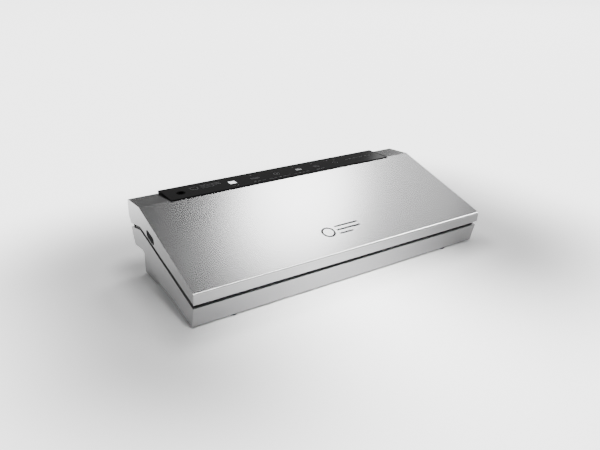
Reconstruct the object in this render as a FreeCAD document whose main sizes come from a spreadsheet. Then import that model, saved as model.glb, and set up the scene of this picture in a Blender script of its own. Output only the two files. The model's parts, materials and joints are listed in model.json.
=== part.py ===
# Bench-top vacuum bag sealer: a low wedge-shaped box with a lid hinged along its rear.
#
# Frame: +X to the user's right, -Y is the front, +Z up, origin on the table under the middle.
# The seam between lid and base is a plane that rises towards the rear by seam_tilt and then
# falls again behind a ridge. Pieces that lie along the seam are drawn in seam coordinates:
# s runs up the slope from the front, n is square to it, and both start at (seam_y, seam_z).
import FreeCAD, Part
import math
import os
import re

import Sketcher
from FreeCAD import Placement, Rotation, Vector

os.makedirs("parts", exist_ok=True)
doc = FreeCAD.newDocument("vacuum_sealer")

# ------------------------------------------------------------------ driving dimensions (mm)
DIMENSIONS = {
    # overall envelope
    "half_width": (200, "half of the overall width"),
    "skin": (2.4, "wall of the lid cover and the base shell"),
    "front_y": (-91.5, "foremost edge of the lid"),
    "front_z": (44.3, "height of the lid's front edge"),
    "lip_y": (-90.2, "lower edge of the lid's front lip"),
    "lip_z": (31.4, "lower edge of the lid's front lip"),
    "bend_y": (51.4, "bend between the sloping top and the rear strip"),
    "bend_z": (89.2, "bend between the sloping top and the rear strip"),
    "strip_y": (90.4, "rear edge of the strip"),
    "strip_z": (87.1, "rear edge of the strip"),
    "back_y": (91.5, "rearmost edge of the lid"),
    "back_z": (66.3, "where the lid's back starts to slant in"),
    "tail_y": (85.9, "lower rear corner of the lid"),
    "tail_z": (58.1, "lower rear corner of the lid"),
    # seam between lid and base
    "seam_y": (-90, "front end of the seam"),
    "seam_z": (27.9, "front end of the seam"),
    "seam_tilt": (13.5, "slope of the seam, degrees"),
    "ridge_s": (148, "length of the slope up to the ridge"),
    "seam_half": (2.2, "half of the gap between lid and base"),
    "inset": (2.8, "dark rim of the deck behind the outer faces"),
    # base
    "base_front_y": (-88, "top of the base's front face"),
    "base_front_z": (26.1, "top of the base's front face"),
    "base_toe_y": (-81.9, "bottom of the base's front face"),
    "base_toe_z": (2.4, "bottom of the base's front face"),
    "step_z": (12, "lower edge of the side band"),
    "floor_z": (2.2, "underside of the rear foot block"),
    "block_front_y": (26, "front of the rear foot block"),
    "block_back_y": (63, "back of the rear foot block"),
    "block_half": (196, "half width of the rear foot block"),
    "ledge_half": (194, "half width of the deep cavity, inside the ledge that holds the deck"),
    "rear_top_y": (86.2, "top of the base's rear wall"),
    "rear_top_z": (53.3, "top of the base's rear wall"),
    # deck and chamber, along the seam
    "deck_top": (-3, "upper face of the deck"),
    "deck_plate": (2, "thickness of the deck and of the lid's inner plate"),
    "rim_top": (1.9, "top of the rim around the deck"),
    "trough_near": (44, "front of the trough"),
    "trough_far": (80, "rear of the trough"),
    "trough_half": (153, "half width of the trough"),
    "trough_depth": (14, "depth of the trough"),
    "gasket_near": (33, "front of the gasket ring"),
    "gasket_far": (95, "rear of the gasket ring"),
    "gasket_half": (165, "half width of the gasket ring"),
    "gasket_width": (8, "width of the gasket"),
    "gasket_corner": (14, "outer corner radius of the gasket ring"),
    "groove": (1, "depth of the grooves for gaskets and seal bar"),
    "gasket_gap": (0.3, "gap between facing pieces of lid and base"),
    "bar_near": (14, "front of the seal bar"),
    "bar_far": (26, "rear of the seal bar"),
    "bar_half": (157, "half length of the seal bar"),
    "wire_width": (3, "width of the heating wire"),
    # hinge
    "hinge_y": (83.2, "hinge axis"),
    "hinge_z": (56, "hinge axis"),
    "barrel_radius": (2.6, "hinge barrel"),
    "hinge_pin_radius": (1.5, "hinge pin"),
    "running_gap": (0.05, "radial clearance of a turning fit"),
    "hinge_x": (150, "middle of each hinge"),
    # control panel
    "panel_half": (162.5, "half width of the control panel"),
    "panel_near": (49.4, "front edge of the panel"),
    "panel_far": (90.2, "rear edge of the panel"),
    "panel_near_z": (89.6, "front edge of the panel's top"),
    "panel_far_z": (90.1, "rear edge of the panel's top"),
    "panel_border": (1.3, "frame around the glossy overlay"),
    "overlay_thick": (0.6, "glossy overlay"),
    "board_z": (78, "underside of the control board"),
    "board_thick": (1.6, "circuit boards"),
    "port_x": (-142, "accessory port"),
    "port_y": (68.3, "accessory port"),
    "port_radius": (5.5, "accessory port"),
    "port_bore": (3.2, "bore of the accessory port"),
    "key_x": (-72.8, "square start key"),
    "key_y": (69.3, "square start key"),
    "key_side": (8.8, "square start key"),
    # latch, along the seam
    "button_s": (116.8, "middle of the release button"),
    "button_n": (8, "middle of the release button"),
    "button_long": (22.5, "release button"),
    "button_high": (9, "release button"),
    "button_gap": (0.3, "gap around the release button"),
    "hook_x": (187.7, "latch hook pivot"),
    "hook_n": (16.6, "latch hook pivot"),
    "hook_thick": (3, "latch hook's arm"),
    "hook_wide": (5.2, "latch hook along the slope"),
    # machinery
    "motor_x": (40, "rear end of the pump motor"),
    "motor_long": (60, "pump motor"),
    "motor_y": (38, "pump motor axis"),
    "motor_z": (26, "pump motor axis"),
    "motor_radius": (17.5, "pump motor"),
    "crank_radius": (8, "eccentric of the pump"),
    "crank_throw": (2, "offset of the eccentric"),
    "hose_radius": (3, "hoses, outside"),
    "hose_bore": (1.8, "hoses, inside"),
    "gland_x": (120, "mains inlet gland"),
    "gland_z": (18, "mains inlet gland"),
    "gland_bore": (3.6, "bore of the mains inlet gland"),
    "front_foot_x": (152, "front feet"),
    "front_foot_y": (-76.5, "front feet"),
    "rear_foot_x": (165, "rear feet"),
    "rear_foot_y": (45, "rear feet"),
    # shared by several pieces
    "screw_x": (178, "screws of the lid and the deck, left and right"),
    "deck_screw_s": (33, "screws of the deck, up the slope"),
    "nozzle_x": (135, "suction nozzle in the trough"),
    "nozzle_s": (72, "suction nozzle in the trough, up the slope"),
    "guide_y": (80, "row of indicator lights"),
    "touch_y": (66, "row of touch keys"),
}
GUIDE_X = ("-41", "-9", "22.5", "52.6", "78", "90")      # indicator lights of the panel
TOUCH_X = ("-41", "-9", "22.5", "52.6", "84.8")          # touch keys of the panel
LID_SCREW_S = ("21", "124")                              # lid screws, up the slope

sheet = doc.addObject("Spreadsheet::Sheet", "dims")
for row, (alias, (number, meaning)) in enumerate(DIMENSIONS.items(), start=1):
    sheet.set(f"A{row}", alias)
    sheet.set(f"B{row}", str(number))
    sheet.set(f"C{row}", meaning)
    sheet.setAlias(f"B{row}", alias)
doc.recompute()

NODES = []                      # the objects that are written out, one per file


# ------------------------------------------------------------------ expressions
def bound(text):
    """An expression in the sheet's words, with each alias looked up in the sheet."""
    return re.sub(r"[a-z_]+", lambda m: "dims." + m[0] if m[0] in DIMENSIONS else m[0], str(text))


def value(text):
    """The present value of an expression."""
    return float(sheet.evalExpression(bound(text)))


def seam(along, off):
    """Row (y, z) expressions of the seam point (s, n)."""
    y = f"seam_y + ({along})*cos(seam_tilt) - ({off})*sin(seam_tilt)"
    z = f"seam_z + ({along})*sin(seam_tilt) + ({off})*cos(seam_tilt)"
    return y, z


def mirrored(sign, low, high):
    """The x range low..high on the right (sign 1) or its mirror image on the left (-1)."""
    return (f"{low}", f"{high}") if sign > 0 else (f"-({high})", f"-({low})")


# ------------------------------------------------------------------ building blocks
def body(name, on_seam=False):
    """A PartDesign body, lying in seam coordinates if on_seam."""
    part = doc.addObject("PartDesign::Body", name)
    part.Label = name
    if on_seam:
        part.Placement = Placement(Vector(), Rotation(Vector(1, 0, 0), 10))
        part.setExpression("Placement.Base.y", bound("seam_y"))
        part.setExpression("Placement.Base.z", bound("seam_z"))
        part.setExpression("Placement.Rotation.Angle", bound("seam_tilt"))
    return part


def sketch(part, plane, level="0", tilted=False):
    """An empty sketch on an origin plane, raised to a level; tilted puts it in seam coordinates."""
    pane = part.newObject("Sketcher::SketchObject", f"{part.Name}_sketch")
    origin = next(f for f in part.Origin.OriginFeatures if f.Role == f"{plane}_Plane")
    pane.AttachmentSupport = [(origin, "")]
    pane.MapMode = "FlatFace"
    if tilted:
        pane.AttachmentOffset = Placement(Vector(), Rotation(Vector(0, 0, 1), 10))
        pane.setExpression("AttachmentOffset.Base.x", bound("seam_y"))
        pane.setExpression("AttachmentOffset.Base.y", bound("seam_z"))
        pane.setExpression("AttachmentOffset.Rotation.Angle", bound("seam_tilt"))
    pane.setExpression("AttachmentOffset.Base.z", bound(level))
    return pane


def hold(pane, kind, *target, size):
    """A dimension of the sketch, bound to an expression."""
    index = pane.addConstraint(Sketcher.Constraint(kind, *target, value(size)))
    pane.setExpression(f"Constraints[{index}]", bound(size))


def polygon(pane, points):
    """A closed outline; each corner is held by its two distances from the origin."""
    corners = [Vector(value(u), value(v), 0) for u, v in points]
    first = pane.GeometryCount
    count = len(corners)
    for i in range(count):
        pane.addGeometry(Part.LineSegment(corners[i], corners[(i + 1) % count]))
    for i, (u, v) in enumerate(points):
        pane.addConstraint(Sketcher.Constraint("Coincident", first + i, 2, first + (i + 1) % count, 1))
        hold(pane, "DistanceX", -1, 1, first + i, 1, size=u)
        hold(pane, "DistanceY", -1, 1, first + i, 1, size=v)
    return pane


def rectangle(pane, u_low, u_high, v_low, v_high):
    return polygon(pane, [(u_low, v_low), (u_high, v_low), (u_high, v_high), (u_low, v_high)])


def circle(pane, u, v, radius):
    index = pane.addGeometry(Part.Circle(Vector(value(u), value(v), 0), Vector(0, 0, 1), value(radius)))
    hold(pane, "DistanceX", -1, 1, index, 3, size=u)
    hold(pane, "DistanceY", -1, 1, index, 3, size=v)
    hold(pane, "Radius", index, size=radius)
    return pane


def rounded(pane, u_low, u_high, v_low, v_high, radius):
    """A rectangle with round corners, its sides tangent to four equal arcs."""
    left, right, low, high, bend = (value(t) for t in (u_low, u_high, v_low, v_high, radius))
    first = pane.GeometryCount
    sides = [((left + bend, low), (right - bend, low)), ((right, low + bend), (right, high - bend)),
             ((right - bend, high), (left + bend, high)), ((left, high - bend), (left, low + bend))]
    centres = [(right - bend, low + bend), (right - bend, high - bend),
               (left + bend, high - bend), (left + bend, low + bend)]
    for start, end in sides:
        pane.addGeometry(Part.LineSegment(Vector(*start, 0), Vector(*end, 0)))
    for turn, centre in enumerate(centres):
        ring = Part.Circle(Vector(*centre, 0), Vector(0, 0, 1), bend)
        begin = (turn - 1) * math.pi / 2
        pane.addGeometry(Part.ArcOfCircle(ring, begin, begin + math.pi / 2))
    for k in range(4):
        pane.addConstraint(Sketcher.Constraint("Tangent", first + k, 2, first + 4 + k, 1))
        pane.addConstraint(Sketcher.Constraint("Tangent", first + 4 + k, 2, first + (k + 1) % 4, 1))
        pane.addConstraint(Sketcher.Constraint("Vertical" if k % 2 else "Horizontal", first + k))
        if k:
            pane.addConstraint(Sketcher.Constraint("Equal", first + 4, first + 4 + k))
    hold(pane, "Radius", first + 4, size=radius)
    hold(pane, "DistanceX", -1, 1, first + 3, 1, size=u_low)
    hold(pane, "DistanceX", -1, 1, first + 1, 1, size=u_high)
    hold(pane, "DistanceY", -1, 1, first, 1, size=v_low)
    hold(pane, "DistanceY", -1, 1, first + 2, 1, size=v_high)
    return pane


def pad(part, pane, length, symmetric=False):
    """Add material from the sketch along its normal, or to both sides of it."""
    feature = part.newObject("PartDesign::Pad", f"{part.Name}_pad")
    feature.Profile = pane
    feature.SideType = "Symmetric" if symmetric else "One side"
    feature.setExpression("Length", bound(length))
    doc.recompute()
    return feature


def pocket(part, pane, length, symmetric=False):
    """Cut along the sketch's normal, or to both sides of it; it has to remove something."""
    before = part.Shape.Volume
    feature = part.newObject("PartDesign::Pocket", f"{part.Name}_pocket")
    feature.Profile = pane
    feature.Reversed = not symmetric
    feature.SideType = "Symmetric" if symmetric else "One side"
    feature.setExpression("Length", bound(length))
    doc.recompute()
    if not part.Shape.Volume < before - 0.01:
        raise RuntimeError(f"{feature.Name} removes nothing")
    return feature


def dress(part, kind, size, picks):
    """Fillet or Chamfer the edges whose middle and direction satisfy picks."""
    feature = part.newObject(f"PartDesign::{kind}", f"{part.Name}_{kind.lower()}")
    base = part.Group[-2]
    names = [f"Edge{i}" for i, edge in enumerate(base.Shape.Edges, start=1) if picks(edge)]
    if not names:
        raise RuntimeError(f"{feature.Name} finds no edge")
    feature.Base = (base, names)
    feature.setExpression("Radius" if kind == "Fillet" else "Size", bound(size))
    part.Tip = feature
    doc.recompute()
    return feature


def middle(edge):
    return edge.valueAt((edge.FirstParameter + edge.LastParameter) / 2)


def runs_along(edge, axis):
    """True for a straight edge parallel to an axis."""
    if not isinstance(edge.Curve, Part.Line):
        return False
    return abs(abs(edge.Curve.Direction.dot(axis)) - 1) < 1e-6


def near_line(y, z):
    """Picks the edges along X that pass within half a millimetre of (y, z)."""
    def picks(edge):
        spot = middle(edge)
        close = math.hypot(spot.y - value(y), spot.z - value(z)) < 0.5
        return close and runs_along(edge, Vector(1, 0, 0))
    return picks


def profile_body(name, points, half, on_seam=False):
    """A prism of a (y, z) outline, as wide as half to each side."""
    part = body(name, on_seam)
    pad(part, polygon(sketch(part, "YZ"), points), f"2*({half})", symmetric=True)
    return part


def block(name, x_range, y_range, z_range, on_seam=False):
    """A box between pairs of expressions, in row or in seam coordinates."""
    box = doc.addObject("Part::Box", name)
    box.Label = name
    for side, (low, high) in zip(("Length", "Width", "Height"), (x_range, y_range, z_range)):
        box.setExpression(side, bound(f"({high}) - ({low})"))
    place(box, x_range[0], y_range[0], z_range[0], on_seam)
    return box


def place(item, x, y, z, on_seam=False):
    """Bind an object's position; on_seam also tilts it to the seam."""
    if on_seam:
        item.Placement = Placement(Vector(), Rotation(Vector(1, 0, 0), 10))
        item.setExpression("Placement.Rotation.Angle", bound("seam_tilt"))
        y, z = seam(y, z)
    for letter, text in zip("xyz", (x, y, z)):
        item.setExpression(f"Placement.Base.{letter}", bound(text))
    return item


def rod(name, x, y, z, radius, height, axis="Z", on_seam=False):
    """A cylinder from (x, y, z) along an axis; on_seam stands it square to the seam."""
    bar = doc.addObject("Part::Cylinder", name)
    bar.Label = name
    bar.setExpression("Radius", bound(radius))
    bar.setExpression("Height", bound(height))
    turn = {"Z": Rotation(), "X": Rotation(Vector(0, 1, 0), 90), "Y": Rotation(Vector(1, 0, 0), -90)}
    bar.Placement = Placement(Vector(), turn[axis])
    return place(bar, x, y, z, on_seam)


def fuse(name, pieces):
    whole = doc.addObject("Part::MultiFuse", name)
    whole.Label = name
    whole.Shapes = pieces
    return whole


def cut(name, base, tool):
    rest = doc.addObject("Part::Cut", name)
    rest.Label = name
    rest.Base, rest.Tool = base, tool
    return rest


def group(name, pieces):
    """Identical pieces that share one node as separate solids."""
    several = doc.addObject("Part::Compound", name)
    several.Label = name
    several.Links = pieces
    return node(several)


def node(item):
    NODES.append(item)
    return item


def screw(name, x, y, z, length, head="2.8", turn=0):
    """A pan-head screw whose head rests on z and whose shank points up; turn tilts it about X."""
    cap = rod(f"{name}_head", "0", "0", "-1.6", head, "1.6")
    slot = block(f"{name}_slot", ("-2", "2"), ("-0.4", "0.4"), ("-1.7", "-1"))
    shank = rod(f"{name}_shank", "0", "0", "0", "1.2", length)
    whole = fuse(name, [cut(f"{name}_cap", cap, slot), shank])
    whole.Placement = Placement(Vector(value(x), value(y), value(z)), Rotation(Vector(1, 0, 0), turn))
    return whole


def bent_path(points):
    """Straight runs joined by tangent arcs, each as large as its two runs allow."""
    spots = [Vector(*p) for p in points]
    edges = []
    radii = []
    last = spots[0]
    for before, corner, after in zip(spots, spots[1:], spots[2:]):
        arriving = (corner - before).normalize()
        leaving = (after - corner).normalize()
        half_turn = arriving.getAngle(leaving) / 2
        reach = 0.45 * min((corner - before).Length, (after - corner).Length)
        start = corner - arriving * reach
        end = corner + leaving * reach
        radius = reach / math.tan(half_turn)
        inward = (leaving - arriving).normalize()
        centre = corner + inward * (radius / math.cos(half_turn))
        edges.append(Part.LineSegment(last, start).toShape())
        edges.append(Part.Arc(start, centre - inward * radius, end).toShape())
        radii.append(round(radius, 1))
        last = end
    edges.append(Part.LineSegment(last, spots[-1]).toShape())
    return Part.Wire(edges), radii


def hose(name, points, radius, bore=None):
    """A tube, or a solid lead without a bore, along a bent path."""
    wire, radii = bent_path(points)
    heading = (Vector(*points[1]) - Vector(*points[0])).normalize()
    ring = Part.Wire([Part.makeCircle(radius, Vector(*points[0]), heading)])
    shape = wire.makePipeShell([ring], True, True)
    expected = math.pi * radius ** 2 * wire.Length
    if bore:
        hollow = Part.Wire([Part.makeCircle(bore, Vector(*points[0]), heading)])
        shape = shape.cut(wire.makePipeShell([hollow], True, True))
        expected = math.pi * (radius ** 2 - bore ** 2) * wire.Length
    print(f"{name}: bends {radii}, volume {shape.Volume:.0f} of {expected:.0f} mm3")
    tube = doc.addObject("Part::Feature", name)
    tube.Label = name
    tube.Shape = shape
    tube.Placement = Placement()
    return node(tube)


# ------------------------------------------------------------------ lid
def lid_cover():
    """Satin metal-look shell: sloping top, rear strip, front lip and sides, open below."""
    outer = [("lip_y", "lip_z"), ("front_y", "front_z"), ("bend_y", "bend_z"),
             ("strip_y", "strip_z"), ("back_y", "back_z"), ("tail_y", "tail_z"),
             seam("ridge_s + 0.5", "seam_half")]
    part = profile_body("lid_cover", outer, "half_width")
    dress(part, "Fillet", "8", near_line(*outer[6]))
    dress(part, "Fillet", "3", near_line("bend_y", "bend_z"))
    dress(part, "Fillet", "2.5", near_line("strip_y", "strip_z"))
    dress(part, "Fillet", "2.2", near_line("front_y", "front_z"))
    inner = [("lip_y + skin", "lip_z - 6"), ("front_y + skin", "front_z - 1.4"),
             ("bend_y + 0.4", "bend_z - 2.5"), ("strip_y - skin", "strip_z - 2.4"),
             ("back_y - skin", "back_z + 0.6"), ("tail_y - 2", "tail_z + 1.4"),
             ("tail_y - 3.2", "tail_z - 5"), ("bend_y", "lip_z - 6")]
    pocket(part, polygon(sketch(part, "YZ"), inner), "2*(half_width - skin)", symmetric=True)
    window = sketch(part, "XY", "board_z")
    rectangle(window, "-(panel_half - 1.2)", "panel_half - 1.2", "panel_near + 1.2", "panel_far - 1.2")
    pocket(part, window, "20")
    slot = sketch(part, "YZ", tilted=True)
    half_long = "(button_long/2 + button_gap)"
    half_high = "(button_high/2 + button_gap)"
    rounded(slot, f"button_s - {half_long}", f"button_s + {half_long}",
            f"button_n - {half_high}", f"button_n + {half_high}", f"{half_high} - 0.05")
    pocket(part, slot, "2*half_width + 2", symmetric=True)
    for level, y, top in (("38.2", "-70", "10.4"), ("64.4", "34", "17.3")):
        bosses = sketch(part, "XY", level)
        for x in ("-screw_x", "screw_x"):
            circle(bosses, x, y, "4")
        pad(part, bosses, top)
    return node(part)


def lid_inner():
    """Black moulding that closes the lid from below and carries gasket, strip and latches."""
    rear = "ridge_s + 25.2"
    points = [("inset + 0.8", "seam_half"), ("ridge_s + 0.47", "seam_half"), (rear, "-8.74"),
              ("ridge_s + 26", "-6.9"), ("ridge_s + 0.9", "seam_half + deck_plate"),
              ("inset + 0.8", "seam_half + deck_plate")]
    part = profile_body("lid_inner", points, "half_width - inset", on_seam=True)
    ring = sketch(part, "XY", "seam_half")
    gasket_outline(ring)
    pocket(part, ring, "groove")
    strip = sketch(part, "XY", "seam_half")
    rectangle(strip, "-bar_half", "bar_half", "bar_near + 1", "bar_far - 1")
    pocket(part, strip, "groove")
    for sign in (-1, 1):
        latch_seat(part, sign)
    crossings = sketch(part, "XY", "-12")
    rectangle(crossings, "port_x - 5", "port_x + 5", "158.5", "166.5")
    rectangle(crossings, "-20", "0", "158.5", "166.5")
    pocket(part, crossings, "20")
    screw_holes = sketch(part, "XY", "0")
    for s in LID_SCREW_S:
        for x in ("-screw_x", "screw_x"):
            circle(screw_holes, x, s, "1.3")
    pocket(part, screw_holes, "10")
    return node(part)


def latch_seat(part, sign):
    """Recess under the button, slot for the hook, stem guide and the two pivot cheeks."""
    recess = sketch(part, "XY", "seam_half + 1")
    rectangle(recess, *mirrored(sign, "190.5", "half_width"), "button_s - 18.5", "button_s + 18.5")
    pocket(part, recess, "4")
    passage = sketch(part, "XY", "0")
    rectangle(passage, *mirrored(sign, "181.5", "194.5"), "button_s - 3.8", "button_s + 3.8")
    pocket(part, passage, "8")
    guide = sketch(part, "XY", "seam_half + 1")
    rectangle(guide, *mirrored(sign, "190.2", "191.4"), "button_s - 7.3", "button_s + 7.3")
    pad(part, guide, "9.4")
    cheeks = sketch(part, "XY", "seam_half + 1")
    for low, high in (("button_s - 7.3", "button_s - 3.8"), ("button_s + 3.8", "button_s + 7.3")):
        rectangle(cheeks, *mirrored(sign, "183.5", "191.4"), low, high)
    pad(part, cheeks, "hook_n")
    stem_hole = sketch(part, "YZ", "189.8" if sign > 0 else "-191.8")
    rectangle(stem_hole, "button_s - 3.3", "button_s + 3.3", "button_n - 2.8", "button_n + 2.8")
    pocket(part, stem_hole, "2")
    pin_hole = sketch(part, "XZ", "-(button_s + 8)")
    circle(pin_hole, f"{sign}*hook_x", "hook_n", "hinge_pin_radius")
    pocket(part, pin_hole, "16")


def gasket_outline(pane):
    """The ring between two rounded rectangles, seen square to the seam."""
    for inward in ("0", "gasket_width"):
        rounded(pane, f"-(gasket_half - {inward})", f"gasket_half - {inward}",
                f"gasket_near + {inward}", f"gasket_far - {inward}", f"gasket_corner - {inward}")


def gasket(name, low, height):
    part = body(name, on_seam=True)
    ring = sketch(part, "XY", low)
    gasket_outline(ring)
    pad(part, ring, height)
    return node(part)


def panel_frame():
    """Black wedge on the lid's rear with a skirt that drops through the cover's window."""
    wedge = [("panel_near", "bend_z - 0.61"), ("bend_y + 0.02", "bend_z + 0.01"),
             ("panel_far", "strip_z + 0.03"), ("panel_far", "panel_far_z"),
             ("panel_near", "panel_near_z")]
    part = profile_body("panel_frame", wedge, "panel_half")
    skirt = sketch(part, "XY", "board_z + 2")
    rectangle(skirt, "-(panel_half - 1.7)", "panel_half - 1.7", "panel_near + 1.6", "panel_far - 1.6")
    pad(part, skirt, "9")
    hollow = sketch(part, "XY", "board_z + 2")
    rectangle(hollow, "-(panel_half - 3.7)", "panel_half - 3.7", "panel_near + 3.6", "panel_far - 3.6")
    pocket(part, hollow, "6.6")
    recess = sketch(part, "YZ")
    polygon(recess, overlay_outline("3"))
    pocket(part, recess, "2*(panel_half - panel_border)", symmetric=True)
    holes = sketch(part, "XY", "board_z")
    circle(holes, "port_x", "port_y", "port_radius")
    rectangle(holes, "key_x - 3.5", "key_x + 3.5", "key_y - 3.5", "key_y + 3.5")
    for x in GUIDE_X:
        circle(holes, x, "guide_y", "1.6")
    for x in TOUCH_X:
        circle(holes, x, "touch_y", "3.2")
    pocket(part, holes, "20")
    return node(part)


def overlay_outline(extra="0"):
    """Outline of the overlay seen from the side; extra makes it taller."""
    near, far = "panel_near + panel_border", "panel_far - panel_border"
    return [(near, "panel_near_z - overlay_thick"), (far, "panel_far_z - overlay_thick"),
            (far, f"panel_far_z - 0.05 + {extra}"), (near, f"panel_near_z - 0.05 + {extra}")]


def panel_overlay():
    part = profile_body("panel_overlay", overlay_outline(), "panel_half - panel_border")
    holes = sketch(part, "XY", "board_z")
    circle(holes, "port_x", "port_y", "port_radius")
    rectangle(holes, "key_x - key_side/2", "key_x + key_side/2", "key_y - key_side/2", "key_y + key_side/2")
    pocket(part, holes, "20")
    return node(part)


def panel_insides():
    """Control board with touch springs, light guides, the start key's window and the port."""
    board_top = "board_z + board_thick"
    board = block("board_blank", ("-132", "150"), ("56", "84"), ("board_z", board_top))
    chips = [block(f"board_chip_{i}", (f"{x}", f"{x} + {long}"), ("70", "76"),
                   (board_top, f"{board_top} + 2"))
             for i, (x, long) in enumerate(((-110, 12), (0, 8), (100, 16)))]
    node(fuse("control_board", [board, *chips]))
    under = "panel_near_z - overlay_thick - 0.1"
    springs = []
    for i, x in enumerate(TOUCH_X):
        outer = rod(f"touch_outer_{i}", x, "touch_y", board_top, "3", f"{under} - ({board_top})")
        inner = rod(f"touch_inner_{i}", x, "touch_y", board_top, "2.3", "20")
        springs.append(cut(f"touch_spring_{i}", outer, inner))
    group("touch_springs", springs)
    guides = [rod(f"light_guide_{i}", x, "guide_y", board_top, "1.5", f"{under} - ({board_top})")
              for i, x in enumerate(GUIDE_X)]
    guides.append(block("light_guide_key", ("key_x - 3.3", "key_x + 3.3"), ("key_y - 3.3", "key_y + 3.3"),
                        (board_top, f"{under} - 0.4")))
    group("light_guides", guides)
    node(key_window())
    accessory_port()


def key_window():
    """The square window lies level with the overlay in the overlay's hole."""
    part = body("start_key")
    lens = sketch(part, "XY", "panel_near_z - overlay_thick + 0.35")
    gap = "key_side/2 - 0.15"
    rectangle(lens, f"key_x - ({gap})", f"key_x + ({gap})", f"key_y - ({gap})", f"key_y + ({gap})")
    pad(part, lens, "0.5")
    return part


def accessory_port():
    """Round socket for a hose, with a spigot below for the internal hose."""
    socket = rod("port_body", "port_x", "port_y", "75", "port_radius", "panel_far_z - 75")
    spigot = rod("port_spigot", "port_x", "port_y", "70", "hose_radius", "6")
    mouth = rod("port_mouth", "port_x", "port_y", "78", "port_bore", "20")
    throat = rod("port_throat", "port_x", "port_y", "69", "hose_bore", "12")
    node(cut("accessory_port", fuse("port_solid", [socket, spigot]), fuse("port_hollow", [mouth, throat])))
    seal = doc.addObject("Part::Torus", "port_seal")
    seal.Label = "port_seal"
    seal.setExpression("Radius1", bound("port_radius + 1"))
    seal.setExpression("Radius2", "0.95")
    node(place(seal, "port_x", "port_y", "board_z + 7.5"))


def hinge_leaves():
    """Lid halves of the hinges: a barrel with a tab that is screwed to the inner plate."""
    outline = [("hinge_y - 2", "hinge_z + 1.3"), ("hinge_y + 0.1", "hinge_z + 2.4"),
               ("hinge_y", "hinge_z + 7.6"), ("hinge_y - 17.2", "hinge_z + 10.9"),
               ("hinge_y - 17.2", "hinge_z + 8.9"), ("hinge_y - 2", "hinge_z + 6.1")]
    leaves = []
    for side, sign in (("left", -1), ("right", 1)):
        part = body(f"hinge_leaf_{side}")
        middle_x = f"{sign}*hinge_x"
        barrel = circle(sketch(part, "YZ", f"{middle_x} - 3.7"), "hinge_y", "hinge_z", "barrel_radius")
        pad(part, barrel, "7.4")
        pad(part, polygon(sketch(part, "YZ", f"{middle_x} - 3.7"), outline), "7.4")
        bore = sketch(part, "YZ", f"{middle_x} - 5")
        circle(bore, "hinge_y", "hinge_z", "hinge_pin_radius + running_gap")
        pocket(part, bore, "10")
        leaves.append(part)
    group("hinge_leaves", leaves)


def lid():
    lid_cover()
    lid_inner()
    gasket("upper_gasket", "0", "seam_half + groove")
    node(block("pressure_strip", ("-bar_half", "bar_half"), ("bar_near + 1", "bar_far - 1"),
               ("-0.5", "seam_half + groove"), on_seam=True))
    panel_frame()
    panel_overlay()
    panel_insides()
    hinge_leaves()
    screws = []
    for s in LID_SCREW_S:
        for x in ("-screw_x", "screw_x"):
            y, z = seam(s, "seam_half")
            screws.append(screw(f"lid_screw_{len(screws)}", x, y, z, "9", turn=value("seam_tilt")))
    group("lid_screws", screws)


# ------------------------------------------------------------------ latches
def latch(side, sign):
    """Release button, its spring, the hook it pushes and the plate the hook snaps under."""
    button = body(f"release_button_{side}", on_seam=True)
    cap = sketch(button, "YZ", "197.8" if sign > 0 else "-half_width")
    half_high = "button_high/2"
    rounded(cap, "button_s - button_long/2", "button_s + button_long/2",
            f"button_n - {half_high}", f"button_n + {half_high}", f"{half_high} - 0.05")
    pad(button, cap, "2.2")
    wings = sketch(button, "YZ", "196.2" if sign > 0 else "-197.4")
    rectangle(wings, "button_s - 16.5", "button_s + 16.5", "button_n - 4", "button_n + 4")
    pad(button, wings, "1.2")
    core = sketch(button, "YZ", "197" if sign > 0 else "-198")
    rectangle(core, "button_s - button_long/2 + 2", "button_s + button_long/2 - 2",
              "button_n - 3.8", "button_n + 3.8")
    pad(button, core, "1")
    stem = sketch(button, "YZ", "189.9" if sign > 0 else "-197")
    rectangle(stem, "button_s - 3", "button_s + 3", "button_n - 2.5", "button_n + 2.5")
    pad(button, stem, "7.1")
    node(button)

    hook = body(f"latch_hook_{side}", on_seam=True)
    near, far = "hook_x - hook_thick/2", "hook_x + hook_thick/2"
    outline = [(near, "hook_n"), (near, "-7.2"), ("192.4", "-7.2"), ("192.4", "-6"),
               (far, "-4.4"), (far, "hook_n")]
    if sign < 0:
        outline = [(f"-({x})", n) for x, n in outline]
    arm = polygon(sketch(hook, "XZ", "-(button_s + hook_wide/2)"), outline)
    pad(hook, arm, "hook_wide")
    boss = circle(sketch(hook, "XZ", "-(button_s + hook_wide/2)"), f"{sign}*hook_x", "hook_n", "3.5")
    pad(hook, boss, "hook_wide")
    eye = sketch(hook, "XZ", "-(button_s + 4)")
    circle(eye, f"{sign}*hook_x", "hook_n", "hinge_pin_radius + running_gap")
    pocket(hook, eye, "8")
    node(hook)

    coil = doc.addObject("Part::Feature", f"button_spring_{side}")
    coil.Label = f"button_spring_{side}"
    coil.Shape = coil_spring(radius=4.3, wire=0.3, long=3.2, turns=3.2)
    y, z = seam("button_s", "button_n")
    start = Vector(-195.4 if sign < 0 else 192.2, value(y), value(z))
    coil.Placement = Placement(start, Rotation(Vector(0, 1, 0), 90))
    node(coil)


def coil_spring(radius, wire, long, turns):
    """A round-wire compression spring standing on the origin along Z."""
    helix = Part.makeLongHelix(long / turns, long, radius)
    start = helix.Edges[0].valueAt(helix.Edges[0].FirstParameter)
    heading = helix.Edges[0].tangentAt(helix.Edges[0].FirstParameter)
    section = Part.Wire([Part.makeCircle(wire, start, heading)])
    return Part.Wire(helix.Edges).makePipeShell([section], True, True)


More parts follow.
